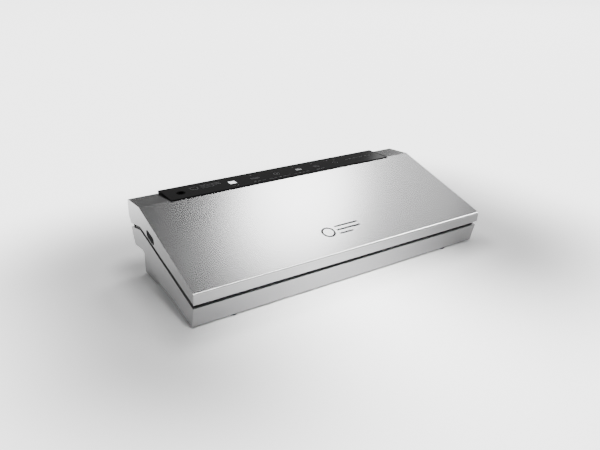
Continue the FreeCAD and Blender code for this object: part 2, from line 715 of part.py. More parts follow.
def latches():
    latch("left", -1)
    latch("right", 1)
    pins = []
    plates = []
    for side, sign in (("left", -1), ("right", 1)):
        pin = body(f"hook_pin_{side}", on_seam=True)
        spot = sketch(pin, "XZ", "-(button_s + 7.3)")
        circle(spot, f"{sign}*hook_x", "hook_n", "hinge_pin_radius")
        pad(pin, spot, "14.6")
        pins.append(pin)
        plate = body(f"catch_plate_{side}", on_seam=True)
        outline = [("ledge_half", "-22"), ("ledge_half", "-8.2"), ("190.3", "-8.2"), ("190.3", "-9.4"),
                   ("ledge_half - 1.2", "-9.4"), ("ledge_half - 1.2", "-22")]
        if sign < 0:
            outline = [(f"-({x})", n) for x, n in outline]
        pad(plate, polygon(sketch(plate, "XZ", "-(button_s + 5)"), outline), "10")
        plates.append(plate)
    group("hook_pins", pins)
    group("catch_plates", plates)


# ------------------------------------------------------------------ base
def base_shell():
    """Silver shell: undercut front, side bands and a rear foot block, open on top."""
    band = [("base_front_y", "base_front_z"), ("base_toe_y", "base_toe_z"), ("-70", "base_toe_z"),
            ("-33", "step_z - 1.6"), ("-10", "step_z"), ("8", "step_z"), ("59.8", "35"),
            ("77.8", "33"), ("82.1", "39.6"), ("84.8", "49"), ("rear_top_y", "rear_top_z"),
            seam("ridge_s - 0.47", "-seam_half")]
    part = profile_body("base_shell", band, "half_width")
    dress(part, "Fillet", "8", near_line(*band[11]))
    dress(part, "Fillet", "2.5", near_line("77.8", "33"))
    dress(part, "Chamfer", "3.2", slanted_side_edges)
    foot_block = [("8", "step_z + 1"), ("8", "step_z"), ("block_front_y", "floor_z"),
                  ("block_back_y", "floor_z"), ("59.8", "35"), ("59.8", "40"), ("26", "40")]
    pad(part, polygon(sketch(part, "YZ"), foot_block), "2*block_half", symmetric=True)
    rebate = sketch(part, "YZ", tilted=True)
    polygon(rebate, [("4", "-5"), ("ridge_s - 1.1", "-5"), ("ridge_s + 30.3", "-19"),
                     ("ridge_s + 30.3", "20"), ("4", "20")])
    pocket(part, rebate, "2*(half_width - 2.5)", symmetric=True)
    cavity = [("-82.3", "26"), ("-76.9", "5.2"), ("-69", "5.2"), ("-33", "13"), ("-9", "14.6"),
              ("9", "14.6"), ("28", "4.6"), ("60.2", "4.6"), ("57", "37.5"), ("76", "37.2"),
              ("80", "41.5"), ("82.6", "49.5"), ("83.2", "52.6"), ("54", "58.4")]
    pocket(part, polygon(sketch(part, "YZ"), cavity), "2*ledge_half", symmetric=True)
    opening = sketch(part, "XY", "0")
    rectangle(opening, "-186", "186", "30", "57")
    pocket(part, opening, "6")
    gland = sketch(part, "XZ", "-70")
    circle(gland, "gland_x", "gland_z", "5")
    pocket(part, gland, "14")
    for side in (-1, 1):
        front = sketch(part, "XY", "4.5")
        circle(front, f"{side}*screw_x", "-60", "4")
        pad(part, front, "13.5")
    return node(part)


def slanted_side_edges(edge):
    """The two lower edges of the side bands that run up from the foot block."""
    spot = middle(edge)
    slope = Vector(0, 59.8 - 8, 35 - value("step_z")).normalize()
    return abs(spot.y - 33.9) < 1 and abs(spot.z - 23.5) < 1 and runs_along(edge, slope)


def chamber_deck():
    """Black moulding inside the base: deck, raised rim, trough, grooves and openings."""
    under = "deck_top - deck_plate"
    plate = [("4.2", under), ("ridge_s - 1.1", under), ("ridge_s + 21", "-14.7"),
             ("ridge_s + 21", "-12.5"), ("ridge_s - 0.6", "deck_top"), ("4.2", "deck_top")]
    part = profile_body("chamber_deck", plate, "half_width - inset", on_seam=True)
    rim = sketch(part, "YZ", "0")
    rear = ("ridge_s + 21", "-7.2")
    polygon(rim, [("4.2", under), ("ridge_s - 1.1", under), ("ridge_s + 21", "-14.7"), rear,
                  ("ridge_s + 0.4", "rim_top"), ("4.2", "rim_top")])
    pad(part, rim, "2*(half_width - inset)", symmetric=True)
    inside = sketch(part, "YZ")
    polygon(inside, [("6.2", "deck_top"), ("ridge_s - 0.6", "deck_top"), ("ridge_s + 19", "-11.6"),
                     ("ridge_s + 19", "6"), ("6.2", "6")])
    pocket(part, inside, "2*(half_width - inset - 2.2)", symmetric=True)
    basin = sketch(part, "XY", "deck_top - trough_depth - 2")
    rectangle(basin, "-(trough_half + 2)", "trough_half + 2", "trough_near - 2", "trough_far + 2")
    pad(part, basin, "trough_depth + 0.5")
    trough = sketch(part, "XY", "deck_top - trough_depth")
    rectangle(trough, "-trough_half", "trough_half", "trough_near", "trough_far")
    pocket(part, trough, "trough_depth + 5")
    grooves = sketch(part, "XY", "deck_top - groove")
    gasket_outline(grooves)
    rectangle(grooves, "-bar_half", "bar_half", "bar_near", "bar_far")
    pocket(part, grooves, "8")
    holes = sketch(part, "XY", "-25")
    circle(holes, "nozzle_x", "nozzle_s", "hose_radius")
    for sign in (-1, 1):
        rectangle(holes, *mirrored(sign, "181", "193.5"), "button_s - 7", "button_s + 5")
    rectangle(holes, "port_x - 5", "port_x + 5", "155", "165")
    rectangle(holes, "-20", "0", "157.5", "165")
    for x in ("-screw_x", "screw_x"):
        circle(holes, x, "deck_screw_s", "1.3")
    pocket(part, holes, "30")
    return node(part)


def drip_tray():
    """Loose tray that catches liquid in the trough, with a hole around the nozzle."""
    part = body("drip_tray", on_seam=True)
    low = "deck_top - trough_depth + 0.3"
    outer = sketch(part, "XY", low)
    rounded(outer, "-(trough_half - 0.6)", "trough_half - 0.6", "trough_near + 0.6", "trough_far - 0.6", "3")
    pad(part, outer, "trough_depth - 0.9")
    inner = sketch(part, "XY", f"{low} + 1.4")
    rounded(inner, "-(trough_half - 2)", "trough_half - 2", "trough_near + 2", "trough_far - 2", "1.8")
    pocket(part, inner, "trough_depth + 4")
    hole = sketch(part, "XY", "-25")
    circle(hole, "nozzle_x", "nozzle_s", "hose_radius + 0.4")
    pocket(part, hole, "20")
    return node(part)


def seal_station():
    """Seal bar, heating wire, non-stick tape over them and the two bag stops."""
    low = "deck_top - groove"
    node(block("seal_bar", ("-bar_half", "bar_half"), ("bar_near", "bar_far"), (low, "-1.3"), on_seam=True))
    centre = "(bar_near + bar_far)/2"
    node(block("heating_wire", ("-(bar_half - 2)", "bar_half - 2"),
               (f"{centre} - wire_width/2", f"{centre} + wire_width/2"), ("-1.3", "-1.05"), on_seam=True))
    node(block("seal_tape", ("-(bar_half - 1)", "bar_half - 1"), ("bar_near + 0.5", "bar_far - 0.5"),
               ("-1.05", "-0.85"), on_seam=True))
    stops = [block(f"bag_stop_{i}", (x, f"{x} + 12"), ("29", "31"), ("deck_top", "1.6"), on_seam=True)
             for i, x in enumerate(("-126", "114"))]
    group("bag_stops", stops)
    outer = rod("nozzle_outer", "nozzle_x", "nozzle_s", "-22", "hose_radius", "14", on_seam=True)
    inner = rod("nozzle_inner", "nozzle_x", "nozzle_s", "-23", "hose_bore", "16", on_seam=True)
    node(cut("suction_nozzle", outer, inner))


def hinge_brackets():
    """Base halves of the hinges: a plate inside the rear wall with two ears, and the pins."""
    ear = [("hinge_y - 5", "hinge_z - 13.5"), ("hinge_y - 3.4", "hinge_z - 13.5"),
           ("hinge_y - 3.4", "hinge_z - 5.8"), ("hinge_y + 0.8", "hinge_z - 2.45"),
           ("hinge_y - 2", "hinge_z + 1.6"), ("hinge_y - 5", "hinge_z - 3.5")]
    plate = [ear[0], ear[1], ear[2], ("hinge_y - 5", "hinge_z - 5.8")]
    brackets = []
    pins = []
    for side, sign in (("left", -1), ("right", 1)):
        part = body(f"hinge_bracket_{side}")
        centre = f"{sign}*hinge_x"
        pad(part, polygon(sketch(part, "YZ", f"{centre} - 10"), plate), "20")
        for low in (f"{centre} - 10", f"{centre} + 4"):
            pad(part, polygon(sketch(part, "YZ", low), ear), "6")
            barrel = sketch(part, "YZ", low)
            circle(barrel, "hinge_y", "hinge_z", "barrel_radius")
            pad(part, barrel, "6")
        bore = sketch(part, "YZ", f"{centre} - 12")
        circle(bore, "hinge_y", "hinge_z", "hinge_pin_radius")
        pocket(part, bore, "24")
        brackets.append(part)
        pins.append(rod(f"hinge_pin_{side}", f"{centre} - 10.5", "hinge_y", "hinge_z",
                        "hinge_pin_radius", "21", axis="X"))
    group("hinge_brackets", brackets)
    group("hinge_pins", pins)


def pump():
    """Brushed motor, crank on its shaft, diaphragm head, bracket and rubber mounts."""
    can = rod("motor_can", "motor_x", "motor_y", "motor_z", "motor_radius", "motor_long", axis="X")
    hub = rod("motor_hub", "motor_x - 3", "motor_y", "motor_z", "6", "motor_long + 6", axis="X")
    hole = rod("motor_hole", "motor_x + 30", "motor_y", "motor_z", "2.05", "60", axis="X")
    node(cut("pump_motor", fuse("motor_solid", [can, hub]), hole))
    node(rod("motor_shaft", "motor_x + 34", "motor_y", "motor_z", "2", "motor_long - 18", axis="X"))
    disc = rod("crank_disc", "motor_x + motor_long + 6", "motor_y + crank_throw", "motor_z",
               "crank_radius", "7", axis="X")
    shaft_hole = rod("crank_hole", "motor_x + motor_long", "motor_y", "motor_z", "2", "20", axis="X")
    node(cut("pump_eccentric", disc, shaft_hole))
    near = "motor_x + motor_long + 3"
    housing = block("head_housing", (near, f"{near} + 32"), ("motor_y - 15", "motor_y + 17"),
                    ("motor_z - 16", "motor_z + 20"))
    chamber = rod("head_chamber", "motor_x + motor_long", "motor_y", "motor_z", "11.5", "19", axis="X")
    inlet = rod("head_inlet", f"{near} + 14", "motor_y - 17", "20", "hose_radius", "3", axis="Y")
    node(cut("pump_head", fuse("head_solid", [housing, inlet]), chamber))
    node(block("pump_bracket", ("motor_x + 4", "motor_x + 56"), ("motor_y - 14", "motor_y + 16"),
               ("7", "8.4")))
    spots = [(f"motor_x + {x}", f"motor_y + ({y})") for y in (-6, 12) for x in (10, 50)]
    mounts = [rod(f"pump_mount_{i}", x, y, "4.6", "4", "2.4") for i, (x, y) in enumerate(spots)]
    group("pump_mounts", mounts)


def valve():
    """Vent valve with a sprung plunger, and the round vacuum switch beside it."""
    case = block("valve_case", ("-172", "-152"), ("30", "48"), ("8", "30"))
    bore = rod("valve_bore", "-162", "39", "14", "3.05", "20")
    node(cut("vent_valve", case, bore))
    node(rod("valve_plunger", "-162", "39", "18.6", "3", "15"))
    spring = doc.addObject("Part::Feature", "valve_spring")
    spring.Label = "valve_spring"
    spring.Shape = coil_spring(radius=2.3, wire=0.25, long=3.7, turns=3.2)
    spring.Placement = Placement(Vector(-162, 39, 14.4), Rotation())
    node(spring)
    can = rod("switch_can", "-172", "0", "24", "9", "14", axis="X")
    port = rod("switch_port", "-158", "0", "24", "hose_radius", "4", axis="X")
    node(fuse("vacuum_switch", [can, port]))


def electrics():
    core = block("transformer_core", ("-134", "-84"), ("29", "55"), ("8", "46"))
    winding = block("transformer_winding", ("-126", "-92"), ("24.5", "56.5"), ("16", "38"))
    node(fuse("transformer", [core, winding]))
    board = block("supply_board", ("-72", "22"), ("29", "56"), ("9", "9 + board_thick"))
    top = "9 + board_thick"
    loads = [rod("capacitor", "-60", "42", top, "7", "20"),
             block("relay", ("-44", "-28"), ("33", "51"), (top, f"{top} + 14")),
             block("socket", ("-18", "-2"), ("44", "54"), (top, f"{top} + 6"))]
    node(fuse("power_board", [board, *loads]))
    node(rod("thermal_fuse", "-30", "18", "20.2", "2.5", "24", axis="X"))
    case = block("lid_switch_case", ("-181", "-173"), ("36", "52"), ("40", "50"))
    notch = block("lid_switch_notch", ("-179.5", "-174.5"), ("35", "44"), ("47", "51"))
    eye = rod("lid_switch_eye", "-182", "42", "49", "0.8", "10", axis="X")
    node(cut("lid_switch", case, fuse("lid_switch_cuts", [notch, eye])))
    arm = block("lever_arm", ("-179.2", "-174.8"), ("28", "42.6"), ("48.5", "49.5"))
    hub = rod("lever_hub", "-179.2", "42", "49", "1.2", "4.4", axis="X")
    axle = rod("lever_axle", "-181", "42", "49", "0.75", "8", axis="X")
    node(fuse("switch_lever", [arm, hub, axle]))
    flange = rod("gland_flange", "gland_x", "62.6", "gland_z", "7", "2", axis="Y")
    barrel = rod("gland_barrel", "gland_x", "55", "gland_z", "5", "12", axis="Y")
    hole = rod("gland_hole", "gland_x", "50", "gland_z", "gland_bore", "30", axis="Y")
    node(cut("mains_gland", fuse("gland_solid", [flange, barrel]), hole))


def hoses():
    radius, bore = value("hose_radius"), value("hose_bore")
    tilt = math.radians(value("seam_tilt"))
    first = Vector(value("nozzle_x"), *(value(t) for t in seam("nozzle_s", "-22")))
    down = Vector(0, math.sin(tilt), -math.cos(tilt))
    hose("suction_hose", [tuple(first), tuple(first + down * 5), (127, -3, 18.5), (120, 9, 20),
                          (120, value("motor_y - 17"), 20)], radius, bore)
    hose("vent_hose", [(-154, 0, 24), (-140, 0, 24), (-128, 6, 22), (-100, 14, 21), (-60, 16, 20)],
         radius, bore)
    x, port_y = value("port_x"), value("port_y")
    hose("port_hose", [(x, port_y, 70), (x, port_y, 60), (x, port_y - 1, 48), (x - 4, 56, 40),
                       (-152 + radius, 39, 34)], radius, bore)
    node(flat_harness())


def flat_harness():
    """Flat harness from the control board down through both openings to the power board."""
    part = body("flex_harness")
    side = sketch(part, "YZ", "-16")
    polygon(side, [("66", "board_z"), ("67.6", "board_z"), ("69.8", "66"), ("69.8", "48"), ("52.6", "38"),
                   ("50.6", "16.8"), ("49", "16.8"), ("51.2", "39"), ("68.2", "49"), ("68.2", "66")])
    pad(part, side, "12")
    return part


def trim():
    """Bottom cover, blank rating plate, feet and the base's screws."""
    node(block("bottom_cover", ("-186", "186"), ("30", "57"), ("floor_z", "floor_z + 2.2")))
    node(block("rating_plate", ("-30", "30"), ("34", "53"), ("floor_z - 0.4", "floor_z")))
    feet = []
    for sign in (-1, 1):
        feet.append(rod(f"front_foot_{sign + 2}", f"{sign}*front_foot_x", "front_foot_y", "0",
                        "4.5", "base_toe_z"))
        feet.append(rod(f"rear_foot_{sign + 2}", f"{sign}*rear_foot_x", "rear_foot_y", "0",
                        "6", "floor_z"))
    group("rubber_feet", feet)
    screws = []
    for x in (-150, -50, 50, 150):
        screws.append(screw(f"base_screw_{len(screws)}", x, 32.5, "floor_z", "2.2", head="2.2"))
    group("base_screws", screws)
    deck = []
    for x in ("-screw_x", "screw_x"):
        y, z = seam("deck_screw_s", "deck_top")
        tilt = value("seam_tilt") + 180
        deck.append(screw(f"deck_screw_{len(deck)}", x, y, z, "8", turn=tilt))
    group("deck_screws", deck)


def base():
    base_shell()
    chamber_deck()
    drip_tray()
    gasket("lower_gasket", "deck_top - groove", "-gasket_gap - (deck_top - groove)")
    seal_station()
    hinge_brackets()
    pump()
    valve()
    electrics()
    hoses()
    trim()


# ------------------------------------------------------------------ build, check, write
lid()
latches()
base()
doc.recompute()

for item in doc.Objects:
    if any(word in state for state in item.State for word in ("Invalid", "Error")):
        raise RuntimeError(f"{item.Label} is {item.State}")
for item in NODES:
    if item.Shape.isNull() or not item.Shape.isValid() or item.Shape.Volume <= 0:
        raise RuntimeError(f"{item.Label} has no valid shape")
labels = [item.Label for item in NODES]
if len(set(labels)) != len(labels) or len(labels) > 60:
    raise RuntimeError("labels have to differ, and there are at most 60")
for item in NODES:
    item.Shape.exportStep(f"parts/{item.Label}.step")
print(len(NODES), "nodes written")
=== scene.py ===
# Looks of a bench-top vacuum sealer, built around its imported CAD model.
# Everything is in metres in the CAD frame: +X right, -Y front, +Z up, origin on the table.
import json
import math

import bmesh
import bpy
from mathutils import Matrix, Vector


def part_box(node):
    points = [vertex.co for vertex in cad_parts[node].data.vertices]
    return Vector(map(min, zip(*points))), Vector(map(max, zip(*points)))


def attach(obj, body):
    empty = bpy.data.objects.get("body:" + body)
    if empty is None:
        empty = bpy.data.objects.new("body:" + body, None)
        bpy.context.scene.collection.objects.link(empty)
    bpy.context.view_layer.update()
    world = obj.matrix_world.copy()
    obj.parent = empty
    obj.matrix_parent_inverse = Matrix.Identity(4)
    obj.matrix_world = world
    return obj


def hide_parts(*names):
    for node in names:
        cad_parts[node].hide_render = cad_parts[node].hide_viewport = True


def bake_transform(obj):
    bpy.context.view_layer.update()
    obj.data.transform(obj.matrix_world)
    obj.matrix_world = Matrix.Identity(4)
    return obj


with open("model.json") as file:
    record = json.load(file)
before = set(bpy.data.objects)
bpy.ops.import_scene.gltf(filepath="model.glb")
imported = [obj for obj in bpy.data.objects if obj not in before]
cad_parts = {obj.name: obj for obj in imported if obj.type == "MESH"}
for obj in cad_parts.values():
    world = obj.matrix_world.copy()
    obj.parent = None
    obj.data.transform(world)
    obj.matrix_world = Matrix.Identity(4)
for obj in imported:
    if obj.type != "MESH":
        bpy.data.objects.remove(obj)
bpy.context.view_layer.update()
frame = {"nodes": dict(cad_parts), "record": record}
MM = 0.001
scene = bpy.context.scene


# ------------------------------------------------------------------ node helpers
def new_material(name):
    """A node material and its Principled shader."""
    mat = bpy.data.materials.new(name)
    mat.use_nodes = True
    return mat, mat.node_tree.nodes["Principled BSDF"]


def add(mat, kind, **settings):
    """A node of a kind, with its properties set."""
    node = mat.node_tree.nodes.new(kind)
    for key, setting in settings.items():
        setattr(node, key, setting)
    return node


def link(mat, source, target):
    mat.node_tree.links.new(source, target)


def grain(mat, scale, stretch=(1, 1, 1), detail=3.0):
    """Noise fixed to the object, in cells per metre, stretched along the axes."""
    place = add(mat, "ShaderNodeTexCoord")
    mapping = add(mat, "ShaderNodeMapping")
    mapping.inputs["Scale"].default_value = stretch
    noise = add(mat, "ShaderNodeTexNoise")
    noise.inputs["Scale"].default_value = scale
    noise.inputs["Detail"].default_value = detail
    link(mat, place.outputs["Object"], mapping.inputs["Vector"])
    link(mat, mapping.outputs["Vector"], noise.inputs["Vector"])
    return noise.outputs["Fac"]


def spread(mat, factor, low, high):
    """Map a 0..1 factor to a range of numbers."""
    node = add(mat, "ShaderNodeMapRange")
    node.inputs["To Min"].default_value = low
    node.inputs["To Max"].default_value = high
    link(mat, factor, node.inputs["Value"])
    return node.outputs["Result"]


def tint(mat, factor, dark, light):
    """Mix two colours by a factor."""
    node = add(mat, "ShaderNodeMix", data_type="RGBA")
    node.inputs["A"].default_value = (*dark, 1)
    node.inputs["B"].default_value = (*light, 1)
    link(mat, factor, node.inputs["Factor"])
    return node.outputs["Result"]


def bump(mat, height, strength, depth):
    """Normals from a height of 0..1 that stands for a depth in metres."""
    node = add(mat, "ShaderNodeBump")
    node.inputs["Strength"].default_value = strength
    node.inputs["Distance"].default_value = depth
    link(mat, height, node.inputs["Height"])
    return node.outputs["Normal"]


# ------------------------------------------------------------------ materials
def satin_metal():
    """Brushed steel sheet: fine grain along X, a slow change of gloss, faint smudges."""
    mat, shader = new_material("satin_metal")
    hairlines = grain(mat, 900, (0.012, 1, 1), detail=4)
    cloud = grain(mat, 14, detail=2)
    link(mat, tint(mat, hairlines, SILVER_LOW, SILVER_HIGH), shader.inputs["Base Color"])
    mixed = add(mat, "ShaderNodeMath", operation="MULTIPLY_ADD")
    link(mat, hairlines, mixed.inputs[0])
    mixed.inputs[1].default_value = 0.5
    link(mat, spread(mat, cloud, 0.1, 0.4), mixed.inputs[2])
    link(mat, spread(mat, mixed.outputs["Value"], 0.215, 0.25), shader.inputs["Roughness"])
    link(mat, bump(mat, hairlines, 0.025, 0.00002), shader.inputs["Normal"])
    shader.inputs["Metallic"].default_value = 1.0
    return mat


def satin_paint():
    """Silver lacquer on plastic: fine metal flake and a faint orange peel."""
    mat, shader = new_material("satin_paint")
    flake = grain(mat, 2600, detail=1)
    peel = grain(mat, 220, detail=2)
    link(mat, tint(mat, flake, PAINT_LOW, PAINT_HIGH), shader.inputs["Base Color"])
    link(mat, spread(mat, flake, 0.34, 0.46), shader.inputs["Roughness"])
    link(mat, bump(mat, peel, 0.05, 0.00004), shader.inputs["Normal"])
    shader.inputs["Metallic"].default_value = 0.92
    return mat


def moulded(name, dark, light, texture=1500, depth=0.00003, rough=(0.42, 0.58), mirror=0.5):
    """Moulded plastic or rubber with an eroded texture and slight colour change."""
    mat, shader = new_material(name)
    fine = grain(mat, texture, detail=2)
    broad = grain(mat, 35, detail=2)
    link(mat, tint(mat, broad, dark, light), shader.inputs["Base Color"])
    link(mat, spread(mat, fine, *rough), shader.inputs["Roughness"])
    link(mat, bump(mat, fine, 0.35, depth), shader.inputs["Normal"])
    shader.inputs["Specular IOR Level"].default_value = mirror
    return mat


def gloss_panel():
    """Dark back-printed film: glossy, with a barely visible ripple."""
    mat, shader = new_material("gloss_panel")
    ripple = grain(mat, 40, detail=1)
    fine = grain(mat, 900, detail=2)
    link(mat, tint(mat, ripple, (0.0065, 0.0065, 0.0068), (0.009, 0.009, 0.0094)),
         shader.inputs["Base Color"])
    link(mat, spread(mat, fine, 0.11, 0.16), shader.inputs["Roughness"])
    link(mat, bump(mat, ripple, 0.05, 0.0001), shader.inputs["Normal"])
    shader.inputs["Specular IOR Level"].default_value = 0.14
    return mat


def metal(name, dark, light, rough=(0.25, 0.4), scale=400, stretch=(1, 1, 1)):
    """Plain metal with machining marks."""
    mat, shader = new_material(name)
    marks = grain(mat, scale, stretch, detail=3)
    link(mat, tint(mat, marks, dark, light), shader.inputs["Base Color"])
    link(mat, spread(mat, marks, *rough), shader.inputs["Roughness"])
    link(mat, bump(mat, marks, 0.15, 0.00002), shader.inputs["Normal"])
    shader.inputs["Metallic"].default_value = 1.0
    return mat


def foam():
    """Closed-cell foam: small round cells."""
    mat, shader = new_material("foam")
    place = add(mat, "ShaderNodeTexCoord")
    cells = add(mat, "ShaderNodeTexVoronoi", feature="SMOOTH_F1")
    cells.inputs["Scale"].default_value = 1400
    link(mat, place.outputs["Object"], cells.inputs["Vector"])
    link(mat, tint(mat, cells.outputs["Distance"], (0.018, 0.018, 0.020), (0.05, 0.05, 0.053)),
         shader.inputs["Base Color"])
    link(mat, bump(mat, cells.outputs["Distance"], 0.6, 0.0002), shader.inputs["Normal"])
    link(mat, spread(mat, cells.outputs["Distance"], 0.75, 0.95), shader.inputs["Roughness"])
    return mat


def glass_cloth():
    """Brown non-stick tape: a plain weave under a waxy film."""
    mat, shader = new_material("glass_cloth")
    place = add(mat, "ShaderNodeTexCoord")
    threads = []
    for direction in ("X", "Y"):
        wave = add(mat, "ShaderNodeTexWave", wave_type="BANDS", bands_direction=direction)
        wave.inputs["Scale"].default_value = 320
        link(mat, place.outputs["Object"], wave.inputs["Vector"])
        threads.append(wave.outputs["Fac"])
    weave = add(mat, "ShaderNodeMath", operation="MULTIPLY")
    link(mat, threads[0], weave.inputs[0])
    link(mat, threads[1], weave.inputs[1])
    link(mat, tint(mat, weave.outputs["Value"], (0.20, 0.13, 0.07), (0.36, 0.25, 0.14)),
         shader.inputs["Base Color"])
    link(mat, bump(mat, weave.outputs["Value"], 0.3, 0.00005), shader.inputs["Normal"])
    link(mat, spread(mat, weave.outputs["Value"], 0.32, 0.5), shader.inputs["Roughness"])
    return mat


def lit_window():
    """Milky key window with an even glow behind it."""
    mat, shader = new_material("lit_window")
    haze = grain(mat, 300, detail=2)
    link(mat, tint(mat, haze, (0.80, 0.82, 0.84), (0.92, 0.93, 0.94)), shader.inputs["Base Color"])
    link(mat, spread(mat, haze, 0.3, 0.4), shader.inputs["Roughness"])
    link(mat, tint(mat, haze, (0.86, 0.90, 0.96), (1.0, 1.0, 1.0)), shader.inputs["Emission Color"])
    shader.inputs["Emission Strength"].default_value = 2.2
    return mat


def soft_clear(name, dark, light):
    """Translucent silicone or clear plastic."""
    mat, shader = new_material(name)
    cloud = grain(mat, 120, detail=2)
    link(mat, tint(mat, cloud, dark, light), shader.inputs["Base Color"])
    link(mat, spread(mat, cloud, 0.3, 0.42), shader.inputs["Roughness"])
    shader.inputs["Subsurface Weight"].default_value = 0.3
    shader.inputs["Subsurface Radius"].default_value = (0.004, 0.004, 0.004)
    shader.inputs["Subsurface Scale"].default_value = 0.5
    return mat


def circuit_board():
    """Green solder mask over a web of copper tracks."""
    mat, shader = new_material("circuit_board")
    place = add(mat, "ShaderNodeTexCoord")
    tracks = add(mat, "ShaderNodeTexBrick")
    tracks.inputs["Scale"].default_value = 160
    tracks.inputs["Mortar Size"].default_value = 0.06
    tracks.inputs["Color1"].default_value = (0.010, 0.075, 0.035, 1)
    tracks.inputs["Color2"].default_value = (0.012, 0.090, 0.042, 1)
    tracks.inputs["Mortar"].default_value = (0.03, 0.16, 0.07, 1)
    link(mat, place.outputs["Object"], tracks.inputs["Vector"])
    link(mat, tracks.outputs["Color"], shader.inputs["Base Color"])
    link(mat, bump(mat, tracks.outputs["Fac"], 0.2, 0.00003), shader.inputs["Normal"])
    link(mat, spread(mat, grain(mat, 500), 0.28, 0.4), shader.inputs["Roughness"])
    return mat


def print_ink(name, colour, glow=0.0):
    """Screen-printed ink, slightly uneven."""
    mat, shader = new_material(name)
    speck = grain(mat, 1800, detail=2)
    dark = tuple(c * 0.86 for c in colour)
    link(mat, tint(mat, speck, dark, colour), shader.inputs["Base Color"])
    link(mat, spread(mat, speck, 0.6, 0.75), shader.inputs["Roughness"])
    shader.inputs["Specular IOR Level"].default_value = 0.05
    if glow:
        link(mat, tint(mat, speck, dark, colour), shader.inputs["Emission Color"])
        shader.inputs["Emission Strength"].default_value = glow
    return mat


SILVER_LOW = (0.308, 0.308, 0.310)
SILVER_HIGH = (0.342, 0.342, 0.344)
PAINT_LOW = (0.285, 0.285, 0.288)
PAINT_HIGH = (0.335, 0.335, 0.338)
BLACK = moulded("black_moulding", (0.006, 0.006, 0.0065), (0.010, 0.010, 0.0105),
                rough=(0.5, 0.65), mirror=0.015)
RUBBER = moulded("black_rubber", (0.008, 0.008, 0.008), (0.014, 0.014, 0.014), 900, 0.00004,
                 (0.6, 0.8), 0.06)
INNER = moulded("black_liner", (0.014, 0.014, 0.015), (0.021, 0.021, 0.022),
                rough=(0.42, 0.55), mirror=0.22)
MATERIALS = {               # one for each material slot of the record
    "silver_satin": satin_metal(),
    "black_satin": BLACK,
    "panel_black": moulded("panel_black", (0.003, 0.003, 0.003), (0.005, 0.005, 0.005), 2200, 0.00001,
                           (0.45, 0.55), 0.01),
    "panel_gloss": gloss_panel(),
    "key_window": lit_window(),
    "rubber_black": RUBBER,
    "foam_gasket": foam(),
    "silicone_pale": moulded("pale_silicone", (0.48, 0.47, 0.45), (0.60, 0.59, 0.56), 700, 0.00002,
                             (0.4, 0.55)),
    "tray_plastic": moulded("tray_plastic", (0.022, 0.022, 0.024), (0.032, 0.032, 0.034), 1100,
                            0.00002, (0.28, 0.4)),
    "ptfe": glass_cloth(),
    "bar_phenolic": moulded("phenolic", (0.035, 0.024, 0.018), (0.055, 0.038, 0.028), 600, 0.00003),
    "nichrome": metal("nichrome", (0.35, 0.32, 0.28), (0.5, 0.47, 0.42), stretch=(0.05, 1, 1)),
    "steel_zinc": metal("zinc_steel", (0.42, 0.42, 0.40), (0.58, 0.57, 0.53), (0.3, 0.5), 120),
    "steel_shaft": metal("ground_steel", (0.5, 0.5, 0.51), (0.66, 0.66, 0.67), (0.15, 0.28), 700,
                         (1, 0.1, 1)),
    "motor_can": metal("motor_can", (0.28, 0.29, 0.30), (0.40, 0.41, 0.42), (0.25, 0.4), 300, (0.1, 1, 1)),
    "pump_plastic": moulded("pump_plastic", (0.03, 0.03, 0.032), (0.05, 0.05, 0.053)),
    "white_plastic": moulded("white_plastic", (0.66, 0.65, 0.61), (0.74, 0.73, 0.69), 900, 0.00002,
                             (0.35, 0.5)),
    "clear_guide": soft_clear("clear_guide", (0.72, 0.76, 0.78), (0.85, 0.88, 0.9)),
    "board_green": circuit_board(),
    "iron_core": metal("iron_core", (0.10, 0.10, 0.11), (0.2, 0.2, 0.21), (0.4, 0.6), 900, (1, 0.05, 0.05)),
    "silicone_hose": soft_clear("silicone_hose", (0.50, 0.51, 0.49), (0.66, 0.67, 0.64)),
    "harness_grey": moulded("harness_grey", (0.16, 0.165, 0.17), (0.22, 0.225, 0.23), 800, 0.00002),
    "spring_steel": metal("spring_steel", (0.3, 0.3, 0.31), (0.45, 0.45, 0.46), (0.2, 0.3), 900),
    "plate_grey": metal("plate_grey", (0.5, 0.5, 0.51), (0.6, 0.6, 0.61), (0.35, 0.5), 500, (0.05, 1, 1)),
}
NODE_SLOT = {row["node"]: row["material_slot"] for row in frame["record"]["subparts"]}
PAINTED = satin_paint()
INK_GREY = print_ink("ink_grey", (0.16, 0.16, 0.165))
INK_PALE = print_ink("ink_pale", (0.22, 0.22, 0.225))
INK_WHITE = print_ink("ink_white", (0.55, 0.55, 0.56), 0.25)
INK_DARK = print_ink("ink_dark", (0.022, 0.022, 0.024))


# ------------------------------------------------------------------ carried-over CAD nodes
PLAIN_EDGE = 0.25           # radius of a broken edge in mm, for nodes that aren't in SOFT_EDGE
SOFT_EDGE = {
    "lid_cover": 0.8, "base_shell": 0.9, "panel_frame": 0.45, "panel_overlay": 0.12,
    "lid_inner": 0.35, "chamber_deck": 0.45, "drip_tray": 0.4, "upper_gasket": 0.8,
    "lower_gasket": 0.8, "pressure_strip": 0.6, "release_button_left": 0.7,
    "release_button_right": 0.7, "rubber_feet": 0.4, "start_key": 0.1, "heating_wire": 0.05,
    "seal_tape": 0.05, "accessory_port": 0.5, "bottom_cover": 0.4, "pump_head": 0.8,
    "transformer": 0.5, "mains_gland": 0.5,
}
COILS = {"button_spring_left", "button_spring_right", "valve_spring"}
SHARP_ANGLE = math.radians(38)
FLAT_ANGLE = math.radians(0.2)


